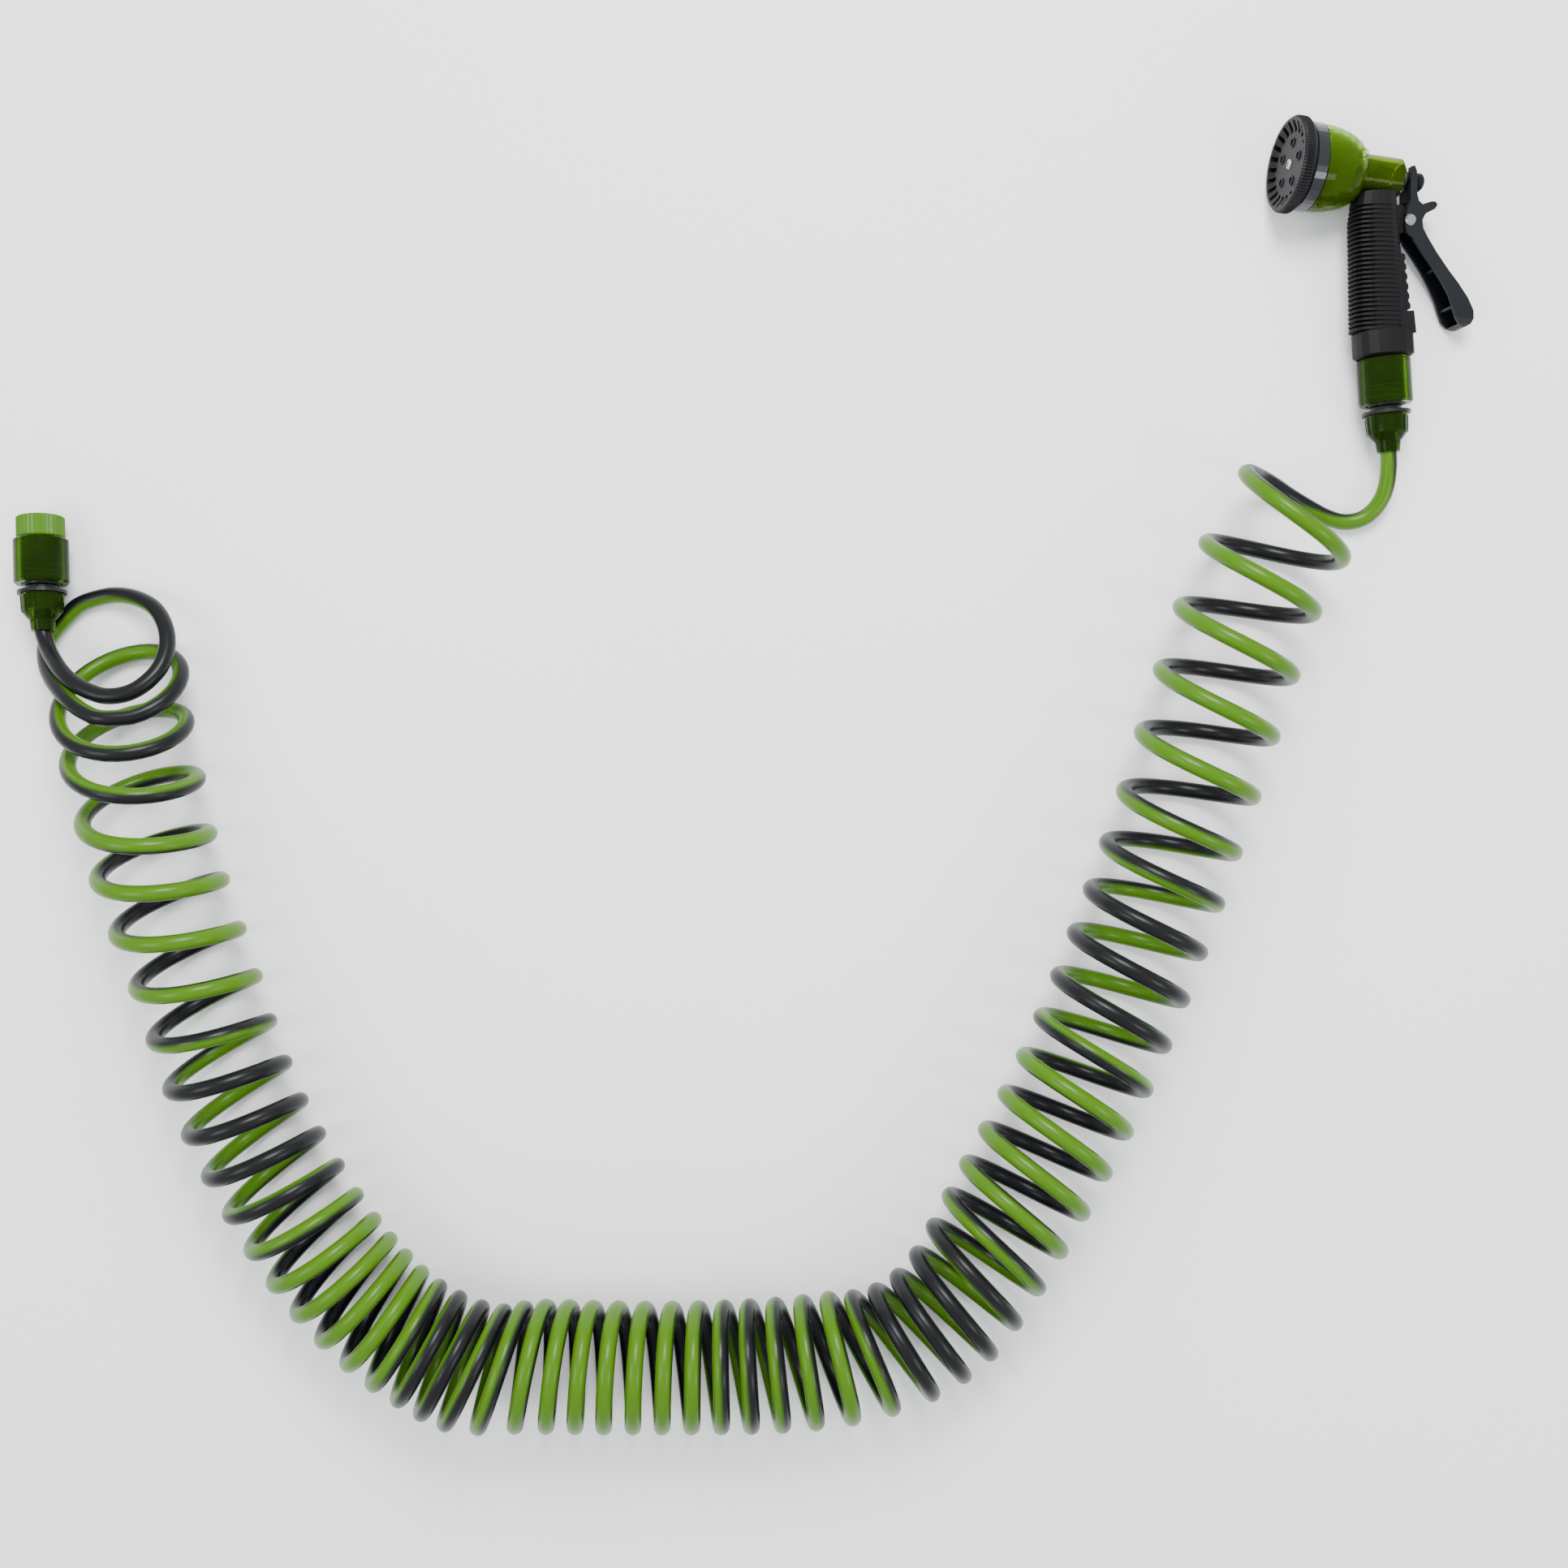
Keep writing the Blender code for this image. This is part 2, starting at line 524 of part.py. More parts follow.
def build_barrel():
    wall = 0.0022
    outer = bell_outline()[1:]
    inner = []
    for r, h in reversed(outer):
        inner.append((max(r - wall, BARREL_BORE_R), min(h + wall * 0.7, COLLAR_AT)))
    inner[-1] = (COLLAR_R - 0.0004 - wall, COLLAR_AT)
    profile = outer + [(BARREL_R, 0.0016), (BARREL_R - 0.0016, 0.0), (BARREL_BORE_R, 0.0)] + inner
    turned("gun_barrel", profile, "clear_green", BARREL, 44, ring=True)
    top = COLLAR_AT + COLLAR_L
    turned("dial_collar", [
        (0.0, top), (COLLAR_R - 0.0016, top), (COLLAR_R, top - 0.0016), (COLLAR_R, COLLAR_AT + 0.0010),
        (COLLAR_R - 0.0008, COLLAR_AT + GAP), (0.0, COLLAR_AT + GAP)], "collar_gloss", BARREL, 44)
    # the dial's rim overlaps the collar's edge a little, and its face is dished
    base = top + GAP
    face = base + DIAL_L
    turned("spray_dial", [
        (0.0, face - DIAL_RECESS), (DIAL_R - 0.0090, face - DIAL_RECESS), (DIAL_R - 0.0040, face),
        (DIAL_R - 0.0016, face), (DIAL_R, face - 0.0020), (DIAL_R, base + 0.0020),
        (DIAL_R - 0.0020, base), (0.0, base)], "dial_black", BARREL, 48)
    head = face - DIAL_RECESS + GAP
    turned("dial_screw", [
        (0.0, head + 0.0014), (0.0030, head + 0.0010), (0.0036, head), (0.0, head)], "steel", BARREL, 16)
    gland_top = -GAP
    turned("stem_gland", [
        (STEM_R + 0.0002, gland_top), (GLAND_R + 0.0016, gland_top), (GLAND_R, gland_top - GLAND_L),
        (STEM_R + 0.0002, gland_top - GLAND_L)], "inner_black", BARREL, 28, ring=True)
    knob = -GAP - GLAND_L - LEVER_CLEAR
    turned("valve_stem", [
        (0.0, 0.0300), (0.0062, 0.0300), (0.0062, 0.0270), (STEM_R, 0.0270), (STEM_R, knob),
        (KNOB_R - 0.0018, knob), (KNOB_R, knob - 0.0018), (KNOB_R, knob - KNOB_L + 0.0018),
        (KNOB_R - 0.0018, knob - KNOB_L), (0.0, knob - KNOB_L)], "grip_black", BARREL, 28)


LEVER_CLEAR = 0.0092            # room on the stem for the top of the trigger
BARREL = HANDLE @ Matrix((
    (sin(BARREL_RISE), 0.0, -cos(BARREL_RISE), BARREL_BACK.x),
    (cos(BARREL_RISE), 0.0, sin(BARREL_RISE), BARREL_BACK.y),
    (0.0, -1.0, 0.0, 0.0),
    (0.0, 0.0, 0.0, 1.0)))


def lever_ring(x_in, y_in, x_out, y_out, half):
    """Four-sided ring across the trigger, from its inner edge to its outer edge."""
    return [(x_in, y_in, -half), (x_out, y_out, -half), (x_out, y_out, half), (x_in, y_in, half)]


# Trigger from the pivot down to its tip: inner edge, outer edge, half width
LEVER = (
    (0.0207, 0.0883, 0.0308, 0.0910, 0.0079),
    (0.0238, 0.0800, 0.0343, 0.0824, 0.0085),
    (0.0297, 0.0710, 0.0405, 0.0712, 0.0086),
    (0.0362, 0.0608, 0.0480, 0.0590, 0.0092),
    (0.0420, 0.0504, 0.0552, 0.0482, 0.0100),
    (0.0466, 0.0402, 0.0612, 0.0376, 0.0108),
    (0.0490, 0.0312, 0.0646, 0.0288, 0.0110),
    (0.0508, 0.0246, 0.0646, 0.0232, 0.0106),
    (0.0538, 0.0204, 0.0626, 0.0197, 0.0094),
    (0.0570, 0.0186, 0.0598, 0.0184, 0.0070),
)
LEVER_WALL = 0.0020


def build_trigger():
    head = [
        (0.0185, 0.0898), (0.0190, 0.0858), (0.0235, 0.0818), (0.0318, 0.0858), (0.0316, 0.0938),
        (0.0345, 0.0985), (0.0415, 0.1012), (0.0437, 0.1040), (0.0424, 0.1064), (0.0392, 0.1066),
        (0.0325, 0.1048), (0.0298, 0.1072), (0.0288, 0.1128), (0.0295, 0.1198), (0.0297, 0.1280),
        (0.0284, 0.1318), (0.0258, 0.1314), (0.0243, 0.1204), (0.0236, 0.1080), (0.0197, 0.0988)]
    lever = plate("trigger", head[::-1], LEVER_HALF, "trigger_grey", HANDLE)
    arm = loft("trigger_arm", [lever_ring(*row) for row in LEVER], None, HANDLE)
    combine(lever, arm, "UNION")
    # hollow of the arm, open towards the handle
    rows = []
    for x_in, y_in, x_out, y_out, half in LEVER[:-1]:
        across = Vector((x_out - x_in, y_out - y_in)).normalized()
        rows.append(lever_ring(x_in - across.x * 0.004, y_in - across.y * 0.004,
                               x_out - across.x * LEVER_WALL, y_out - across.y * LEVER_WALL,
                               half - LEVER_WALL))
    hollow = loft("trigger_hollow", rows, None, HANDLE)
    combine(lever, hollow, "DIFFERENCE")
    room = LUG_HALF + PIN_PLAY
    lug_room = box("lug_room", (0.010, LUG_ROOM[0], -room), (PIVOT.x + 0.0065, LUG_ROOM[1], room),
                   None, HANDLE)
    combine(lever, lug_room, "DIFFERENCE")
    room = STEM_R + STEM_PLAY
    fork = box("stem_fork", (0.020, LUG_ROOM[1], -room), (0.050, 0.1438, room), None, HANDLE)
    combine(lever, fork, "DIFFERENCE")
    pin_hole = turned("lever_pin_hole", [
        (0.0, 0.020), (PIN_R + 0.0002, 0.020), (PIN_R + 0.0002, -0.020), (0.0, -0.020)],
        None, HANDLE @ Matrix.Translation(PIVOT), 20)
    combine(lever, pin_hole, "DIFFERENCE")
    side = LEVER_HALF + GAP
    turned("trigger_pin", [
        (0.0, side + 0.0012), (PIN_HEAD_R - 0.0010, side + 0.0012), (PIN_HEAD_R, side), (PIN_R, side),
        (PIN_R, -side), (PIN_HEAD_R, -side), (PIN_HEAD_R - 0.0010, -side - 0.0012),
        (0.0, -side - 0.0012)], "steel", HANDLE @ Matrix.Translation(PIVOT), 20)


build_leads(build_coil())
build_connector("tap", TAP)
build_adaptor(TAP)
build_connector("gun", GUN)
build_grip()
build_barrel()
build_trigger()
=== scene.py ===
"""Looks of the coiled garden hose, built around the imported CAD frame.

Metres, in the CAD's frame. The camera stands over the hose and looks straight down, as in the photo.
"""

import json
from math import cos, pi, radians, sin

import bmesh
import bpy
from mathutils import Matrix, Vector

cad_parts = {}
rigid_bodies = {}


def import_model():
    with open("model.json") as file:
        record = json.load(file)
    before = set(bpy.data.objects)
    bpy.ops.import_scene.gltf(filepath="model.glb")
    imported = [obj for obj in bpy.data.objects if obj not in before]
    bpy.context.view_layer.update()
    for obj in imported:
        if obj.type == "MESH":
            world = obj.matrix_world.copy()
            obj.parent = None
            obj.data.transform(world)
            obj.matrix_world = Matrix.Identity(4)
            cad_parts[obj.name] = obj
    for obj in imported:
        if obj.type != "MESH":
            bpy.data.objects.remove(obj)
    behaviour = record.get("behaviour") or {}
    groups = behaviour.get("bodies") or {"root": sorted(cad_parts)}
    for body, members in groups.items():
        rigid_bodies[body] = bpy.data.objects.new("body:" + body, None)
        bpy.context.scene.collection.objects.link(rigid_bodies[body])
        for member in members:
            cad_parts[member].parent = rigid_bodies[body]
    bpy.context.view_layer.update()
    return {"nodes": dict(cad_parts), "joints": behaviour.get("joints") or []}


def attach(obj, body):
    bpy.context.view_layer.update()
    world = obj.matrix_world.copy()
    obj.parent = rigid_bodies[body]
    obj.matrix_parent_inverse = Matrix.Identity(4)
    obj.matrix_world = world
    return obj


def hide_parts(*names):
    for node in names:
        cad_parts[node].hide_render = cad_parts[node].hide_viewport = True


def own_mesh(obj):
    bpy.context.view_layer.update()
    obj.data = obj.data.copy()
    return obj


GAP = 0.0003

# Hose, as in the part's source
HOSE_R = 0.0057
# Route of the coil: turn, x and y of its middle in mm, the way it runs in degrees from -Y towards +X,
# the degrees that its top strand leans that way, and the radius of the hose's own line in mm
ROUTE = (
    (2, -436, -208, 5, 52, 43.5), (3, -431, -239, 1, 39, 42.0), (4, -422, -275, 0, 27, 41.0),
    (5, -412, -316, 4, 17, 40.0), (6, -403, -351, 9, 13, 39.0), (8, -378, -422, 16, 8, 38.0),
    (10, -356, -487, 23, 4, 38.0), (12, -331, -542, 30, 3, 38.0), (15, -289, -609, 39, 4, 38.5),
    (18, -247, -655, 57, 4, 38.5), (20, -217, -676, 65, 3, 38.5), (22, -185, -689, 68, 1, 40.0),
    (24, -146, -688, 83, 0, 39.5), (27, -91, -689, 91, 0, 39.0), (30, -33, -689, 94, 1, 39.0),
    (33, 25, -687, 101, 1, 40.0), (35, 68, -682, 109, 2, 40.5), (37, 112, -671, 127, 3, 39.5),
    (39, 146, -645, 135, 4, 40.0), (42, 187, -578, 146, 5, 42.0), (45, 229, -500, 153, 4, 42.0),
    (48, 266, -412, 159, -1, 42.0), (51, 301, -313, 164, -6, 42.0), (54, 340, -189, 162, -8, 43.0),
    (55, 356, -145, 161, -9, 43.0), (56, 378, -105, 155, -8, 43.5), (57, 413, -50, 140, -8, 44.0),
)
TAP_JOIN = 2.06
GUN_JOIN = 56.25
TAP_LEAD = (
    (-0.4893, -0.1852, 0.0255), (-0.4856, -0.1923, 0.0290), (-0.4793, -0.2001, 0.0352),
    (-0.4710, -0.2084, 0.0425), (-0.4612, -0.2160, 0.0480), (-0.4492, -0.2223, 0.0510),
    (-0.4364, -0.2257, 0.0520), (-0.4219, -0.2235, 0.0515), (-0.4106, -0.2161, 0.0485),
    (-0.4025, -0.2045, 0.0430), (-0.4005, -0.1894, 0.0355), (-0.4048, -0.1746, 0.0280),
    (-0.4148, -0.1619, 0.0205), (-0.4298, -0.1543, 0.0135), (-0.4460, -0.1515, 0.0085),
    (-0.4608, -0.1536, 0.0062), (-0.4730, -0.1582, 0.0060), (-0.4815, -0.1657, 0.0060),
    (-0.4907, -0.1762, 0.0064), (-0.4949, -0.1869, 0.0105), (-0.4916, -0.1979, 0.0200),
    (-0.4843, -0.2094, 0.0310), (-0.4734, -0.2202, 0.0425), (-0.4613, -0.2297, 0.0520),
    (-0.4489, -0.2372, 0.0580), (-0.4360, -0.2412, 0.0615),
)
GUN_LEAD = (
    (0.4559, -0.0620, 0.0180), (0.4555, -0.0730, 0.0155), (0.4531, -0.0829, 0.0125),
    (0.4476, -0.0917, 0.0098), (0.4391, -0.0977, 0.0075), (0.4274, -0.0992, 0.0062),
    (0.4153, -0.0957, 0.0060), (0.4025, -0.0889, 0.0064), (0.3882, -0.0813, 0.0100),
    (0.3746, -0.0745, 0.0175), (0.3624, -0.0704, 0.0270), (0.3528, -0.0698, 0.0400),
)
# Where the green half of the hose faces, in degrees round it: at 0 away from the coil's middle
TWIST = (
    (1.0, -225), (2, -180), (3, -160), (4, -122), (5, -55), (6, -15), (7, 0), (8, 15), (9, 72), (10, 160),
    (12, 200), (13, 235), (14, 285), (15, 335), (17, 360), (18, 350), (19, 290), (20, 243), (21, 237),
    (22, 262), (23, 292), (24, 330), (26, 360), (28, 360), (30, 330), (31, 282), (32, 265), (33, 286),
    (34, 304), (35, 330), (36, 287), (37, 220), (38, 200), (39, 208), (40, 232), (41, 287), (42, 330),
    (44, 360), (45, 378), (46, 445), (47, 510), (49, 560), (50, 630), (51, 670), (52, 710), (55, 720),
    (56.25, 690), (56.4, 660), (56.53, 600), (56.65, 555), (56.8, 490), (56.95, 465),
)
SIDES = 20
STEPS = 36                      # rings to a turn

# Fittings, along their axis from the hose's exit
NUT_IN = 0.008
SLEEVE_START = 0.0334
CONNECTOR_L = 0.0632
SEAT = 0.0026
HANDLE_FOOT = CONNECTOR_L + SEAT + 0.0004
NUT_RIBS = 12
RIB_R = (0.0128, 0.0147)        # foot and top of a rib, at the nut's wide end
THREAD_START = 0.0168
THREAD_PITCH = 0.0018
THREAD_TURNS = 5
PAINTED_HIGHLIGHT_RINGS = ((0.0050, 0.0), (0.0085, 7.0), (0.0125, 0.0))     # painted highlight rings under the sleeve: place along it, and lean in degrees

# Spray gun, in the handle's frame
BARREL_R = 0.0142
NECK_AT = 0.0304                # along the barrel from its back
COLLAR_AT = 0.0644
COLLAR_L = 0.0104
COLLAR_R = 0.0300
DIAL_R = 0.0328
DIAL_L = 0.0092
DIAL_RECESS = 0.0030
DIAL_DISH = 0.0090              # from its edge in to the foot of the slope
DIAL_SLOPE = 0.0040             # from its edge in to the top of the slope
DIAL_LIP = 0.0016
DIAL_EDGE = 0.0020
DIAL_RIDGES = 96                # round the dial's band
DIAL_RIDGE = 0.0009
DIAL_SLOTS = 22                 # in the slope between its rim and its face
OUTLETS = 5                     # spray patterns on its face
OUTLET_AT = 0.0145              # from its middle
OUTLET_R = 0.0034
OUTLET_BORE_R = OUTLET_R - 0.0010
SCREW_R = 0.0036
SPRING_R = 0.0072               # spring of the valve, seen through the barrel
SPRING_WIRE = 0.0008
SPRING_TURNS = 7
SPRING_FROM = 0.0045
SPRING_TO = 0.0250
DIAL_BASE = COLLAR_AT + COLLAR_L + GAP
DIAL_FACE = DIAL_BASE + DIAL_L
DIAL_FLOOR = DIAL_FACE - DIAL_RECESS

CAMERA_AT = (0.029, -0.286, 1.30)
CAMERA_LENS = 41.69

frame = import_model()
NODES = frame["nodes"]
JOINTS = {joint["name"]: joint for joint in frame["joints"]}


def joint_point(name):
    """A point on the joint's axis."""
    return Vector(JOINTS[name]["pos_m"])


def joint_axis(name):
    """Direction of the joint's axis, one long."""
    return Vector(JOINTS[name]["axis"]).normalized()


def frame_from(origin, across, up, out):
    """Frame with its X, Y and Z axes along the three directions."""
    m = Matrix((across, up, out)).transposed().to_4x4()
    m.translation = origin
    return m


def fitting_frame(name):
    """+Y up the fitting's axis from the hose's exit, and +Z as near to upright as that allows."""
    up = joint_axis(name)
    across = up.cross(Vector((0.0, 0.0, 1.0))).normalized()
    return frame_from(joint_point(name), across, up, across.cross(up))


TAP = fitting_frame("tap_turn")
gun_up = joint_axis("gun_turn")
gun_out = -joint_axis("trigger_pull")
GUN = frame_from(joint_point("gun_turn"), gun_up.cross(gun_out), gun_up, gun_out)
HANDLE = GUN @ Matrix.Translation((0.0, HANDLE_FOOT, 0.0))
barrel_axis = joint_axis("dial_turn")
BARREL = frame_from(joint_point("dial_turn"), (-gun_out).cross(barrel_axis), -gun_out, barrel_axis)
UP_Y = Matrix.Rotation(-pi / 2, 4, "X")     # carries a turned piece's Z onto the frame's +Y


# Camera, light and floor

def build_stage():
    """Camera straight above, pale floor, even sky and three soft lamps."""
    camera = bpy.data.objects.new("camera", bpy.data.cameras.new("camera"))
    camera.location = CAMERA_AT
    camera.data.lens = CAMERA_LENS
    camera.data.sensor_width = 36.0
    bpy.context.scene.collection.objects.link(camera)
    bpy.context.scene.camera = camera

    bpy.ops.mesh.primitive_plane_add(size=12.0, location=(0.0, -0.3, 0.0))
    floor = bpy.context.object
    floor.name = "floor"
    floor.data.materials.append(floor_material())

    world = bpy.data.worlds.new("sky")
    world.use_nodes = True
    back = world.node_tree.nodes["Background"]
    back.inputs["Color"].default_value = (0.95, 0.97, 1.0, 1.0)
    back.inputs["Strength"].default_value = 1.25
    bpy.context.scene.world = world

    area_light("key", (0.15, 0.95, 1.75), 0.9, 62.0)
    area_light("fill", (-1.3, -0.5, 1.5), 0.8, 14.0)
    area_light("edge", (1.4, -0.9, 1.3), 0.6, 10.0)


def area_light(name, at, size, power):
    """Square lamp that faces the middle of the hose."""
    lamp = bpy.data.lights.new(name, "AREA")
    lamp.size = size
    lamp.energy = power
    ob = bpy.data.objects.new(name, lamp)
    ob.location = at
    ob.rotation_euler = (Vector((0.0, -0.35, 0.0)) - Vector(at)).to_track_quat("-Z", "Y").to_euler()
    bpy.context.scene.collection.objects.link(ob)


# Materials

def shaded(name):
    """New material, with its nodes, its links and its shader."""
    mat = bpy.data.materials.new(name)
    mat.use_nodes = True
    return mat, mat.node_tree.nodes, mat.node_tree.links, mat.node_tree.nodes["Principled BSDF"]


def noise(nodes, links, scale, detail=3.0):
    """Noise fixed to the piece, from 0 to 1."""
    where = nodes.new("ShaderNodeTexCoord")
    tex = nodes.new("ShaderNodeTexNoise")
    tex.inputs["Scale"].default_value = scale
    tex.inputs["Detail"].default_value = detail
    links.new(where.outputs["Object"], tex.inputs["Vector"])
    return tex.outputs["Fac"]


def ramp(nodes, links, source, stops):
    """Colour ramp from (place, colour) stops, driven by source."""
    node = nodes.new("ShaderNodeValToRGB")
    elements = node.color_ramp.elements
    while len(elements) < len(stops):
        elements.new(0.5)
    for element, (place, colour) in zip(elements, stops):
        element.position = place
        element.color = (*colour, 1.0)
    links.new(source, node.inputs["Fac"])
    return node.outputs["Color"]


def tinted(colour, share):
    """The colour, lighter or darker by a share."""
    return tuple(min(1.0, c * share) for c in colour)


def painted_shade_by_height(nodes, links, shade, low, high, share):
    """Painted shade: darkens a colour to a share of itself from height high down to low, so the piece is
    lighter on top and darker at the bottom.
    """
    where = nodes.new("ShaderNodeTexCoord")
    split = nodes.new("ShaderNodeSeparateXYZ")
    links.new(where.outputs["Object"], split.inputs["Vector"])
    rise = nodes.new("ShaderNodeMapRange")
    rise.interpolation_type = "SMOOTHSTEP"
    rise.inputs["From Min"].default_value = low
    rise.inputs["From Max"].default_value = high
    rise.inputs["To Min"].default_value = share
    links.new(split.outputs["Z"], rise.inputs["Value"])
    scale = nodes.new("ShaderNodeVectorMath")
    scale.operation = "SCALE"
    links.new(shade, scale.inputs["Vector"])
    links.new(rise.outputs["Result"], scale.inputs["Scale"])
    return scale.outputs["Vector"]


def moulded(name, colour, rough, drift=0.12, grain=900.0, depth=0.05, metal=0.0, coat=0.0, clear=0.0,
            shine=0.25, painted_shade_heights=None):
    """Moulded plastic, rubber or metal: its colour drifts a little, and fine grain breaks the gloss. Where
    heights are given, shade is painted in, darker towards the bottom.
    """
    mat, nodes, links, shader = shaded(name)
    shade = ramp(nodes, links, noise(nodes, links, 35.0),
                 [(0.3, tinted(colour, 1 - drift)), (0.7, tinted(colour, 1 + drift))])
    # painted shade: the colour darkens towards the bottom of the piece
    if painted_shade_heights:
        shade = painted_shade_by_height(nodes, links, shade, *painted_shade_heights)
    links.new(shade, shader.inputs["Base Color"])
    fine = noise(nodes, links, grain, 4.0)
    spread = nodes.new("ShaderNodeMapRange")
    spread.inputs["To Min"].default_value = rough * 0.8
    spread.inputs["To Max"].default_value = rough * 1.25
    links.new(fine, spread.inputs["Value"])
    links.new(spread.outputs["Result"], shader.inputs["Roughness"])
    bump = nodes.new("ShaderNodeBump")
    bump.inputs["Strength"].default_value = depth
    bump.inputs["Distance"].default_value = 0.0004
    links.new(fine, bump.inputs["Height"])
    links.new(bump.outputs["Normal"], shader.inputs["Normal"])
    shader.inputs["Metallic"].default_value = metal
    shader.inputs["Specular IOR Level"].default_value = shine
    shader.inputs["Coat Weight"].default_value = coat
    shader.inputs["Coat Roughness"].default_value = 0.06
    shader.inputs["Transmission Weight"].default_value = clear
    if clear:
        shader.inputs["IOR"].default_value = 1.16
    return mat


def hose_material(name, middle, edge, rough):
    """One colour of the hose, greyer towards the line where the two colours meet."""
    mat, nodes, links, shader = shaded(name)
    round_it = nodes.new("ShaderNodeAttribute")
    round_it.attribute_name = "round_it"
    streak = noise(nodes, links, 60.0)
    mix = nodes.new("ShaderNodeMath")
    mix.operation = "MULTIPLY_ADD"
    mix.inputs[1].default_value = 0.12
    links.new(streak, mix.inputs[0])
    links.new(round_it.outputs["Fac"], mix.inputs[2])
    shade = ramp(nodes, links, mix.outputs["Value"],
                 [(0.05, middle), (0.62, tinted(middle, 0.92)), (1.0, edge)])
    links.new(shade, shader.inputs["Base Color"])
    fine = noise(nodes, links, 700.0, 4.0)
    spread = nodes.new("ShaderNodeMapRange")
    spread.inputs["To Min"].default_value = rough * 0.85
    spread.inputs["To Max"].default_value = rough * 1.2
    links.new(fine, spread.inputs["Value"])
    links.new(spread.outputs["Result"], shader.inputs["Roughness"])
    shader.inputs["Specular IOR Level"].default_value = 0.18
    shader.inputs["Coat Weight"].default_value = 0.06
    shader.inputs["Coat Roughness"].default_value = 0.15
    return mat


def floor_material():
    """Matt white paper."""
    mat, nodes, links, shader = shaded("floor_paper")
    shade = ramp(nodes, links, noise(nodes, links, 3.0),
                 [(0.3, (0.93, 0.93, 0.93)), (0.7, (0.95, 0.95, 0.95))])
    links.new(shade, shader.inputs["Base Color"])
    shader.inputs["Roughness"].default_value = 0.9
    shader.inputs["Specular IOR Level"].default_value = 0.1
    return mat


build_stage()

HOSE_GREEN = hose_material("hose_green", (0.055, 0.150, 0.001), (0.012, 0.034, 0.003), 0.30)
HOSE_DARK = hose_material("hose_dark", (0.0035, 0.004, 0.005), (0.006, 0.008, 0.007), 0.34)
BRIGHT_GREEN = moulded("bright_green", (0.046, 0.140, 0.002), 0.36)
# The clear greens carry painted shade: darker towards their bottom, lighter on top
CLEAR_GREEN = moulded("clear_green", (0.060, 0.150, 0.002), 0.06, drift=0.25, depth=0.004, clear=0.90,
                      shine=0.2, painted_shade_heights=(0.004, 0.036, 0.2))
CLEAR_YELLOW = moulded("clear_yellow_green", (0.200, 0.360, 0.001), 0.06, drift=0.30, depth=0.004,
                       clear=0.92, shine=0.2, painted_shade_heights=(0.008, 0.048, 0.15))
# Painted highlight: bright green for the rings that stand in for the highlight lines on the sleeves
PAINTED_HIGHLIGHT_GREEN = moulded("painted_highlight_green", (0.700, 0.850, 0.060), 0.25, drift=0.2)
INNER_BLACK = moulded("inner_black", (0.005, 0.007, 0.005), 0.38)
GRIP_BLACK = moulded("grip_black", (0.004, 0.004, 0.0045), 0.55, grain=2200.0, depth=0.25, shine=0.15)
TRIGGER_GREY = moulded("trigger_grey", (0.006, 0.007, 0.009), 0.42, grain=1800.0, depth=0.12, shine=0.2)
DIAL_BLACK = moulded("dial_black", (0.005, 0.005, 0.006), 0.50, grain=1500.0, depth=0.10, shine=0.2)
COLLAR_GLOSS = moulded("collar_gloss", (0.008, 0.009, 0.011), 0.16, coat=0.2, shine=0.35)
SEAL = moulded("seal", (0.008, 0.008, 0.009), 0.70)
STEEL = moulded("steel", (0.40, 0.40, 0.38), 0.26, metal=1.0, shine=0.5)
SPRING_STEEL = moulded("spring_steel", (0.020, 0.030, 0.004), 0.30, shine=0.5)


# Helpers

def smooth(points, at):
    """Point of the smooth curve through points, at 0 for the first and 1 for the second."""
    i = min(max(int(at), 0), len(points) - 2)
    u = at - i
    a = points[max(i - 1, 0)]
    b, c = points[i], points[i + 1]
    d = points[min(i + 2, len(points) - 1)]
    return b + 0.5 * u * ((c - a) + u * ((2 * a - 5 * b + 4 * c - d) + u * (3 * (b - c) + d - a)))


def show(ob, mats, body, *nodes, slot=None, flat=False):
    """Adds a piece that rides on a body, with its materials, in place of the nodes named."""
    bpy.context.scene.collection.objects.link(ob)
    for mat in mats:
        ob.data.materials.append(mat)
    if not flat:
        for face in ob.data.polygons:
            face.use_smooth = True
    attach(ob, body)
    if nodes:
        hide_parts(*nodes)
    return ob


def mesh_piece(name, bm, place):
    """Object of the closed mesh, moved by place. Points that fall together are joined."""
    bmesh.ops.remove_doubles(bm, verts=bm.verts, dist=0.000001)
    bmesh.ops.recalc_face_normals(bm, faces=bm.faces)
    mesh = bpy.data.meshes.new(name)
    bm.to_mesh(mesh)
    bm.free()
    mesh.transform(place)
    return bpy.data.objects.new(name, mesh)


def crisp(ob, degrees=25):
    """Smooth faces that keep their sharp edges."""
    bm = bmesh.new()
    bm.from_mesh(ob.data)
    for edge in bm.edges:
        edge.smooth = len(edge.link_faces) == 2 and edge.calc_face_angle(0.0) < radians(degrees)
    bm.to_mesh(ob.data)
    bm.free()
    return ob


def add_turned(bm, profile, steps, place=None):
    """Adds a closed section turned about Z. profile is (radius, height) round it, or gives it for a step."""
    rings = []
    for i in range(steps):
        a = 2 * pi * i / steps
        section = profile(i) if callable(profile) else profile
        points = [Vector((r * cos(a), r * sin(a), h)) for r, h in section]
        rings.append([bm.verts.new(place @ p if place else p) for p in points])
    for i in range(steps):
        low, high = rings[i], rings[(i + 1) % steps]
        for j in range(len(low)):
            k = (j + 1) % len(low)
            bm.faces.new((low[j], high[j], high[k], low[k]))


def add_wire(bm, points, radius, sides=8):
    """Adds a round wire through points, with flat ends."""
    last = len(points) - 1
    rings = []
    for i, p in enumerate(points):
        along = (points[min(i + 1, last)] - points[max(i - 1, 0)]).normalized()
        side = along.cross(Vector((0.0, 0.0, 1.0))).normalized()
        over = along.cross(side)
        rings.append([p + radius * (cos(2 * pi * k / sides) * side + sin(2 * pi * k / sides) * over)
                      for k in range(sides)])
    add_loft(bm, rings)


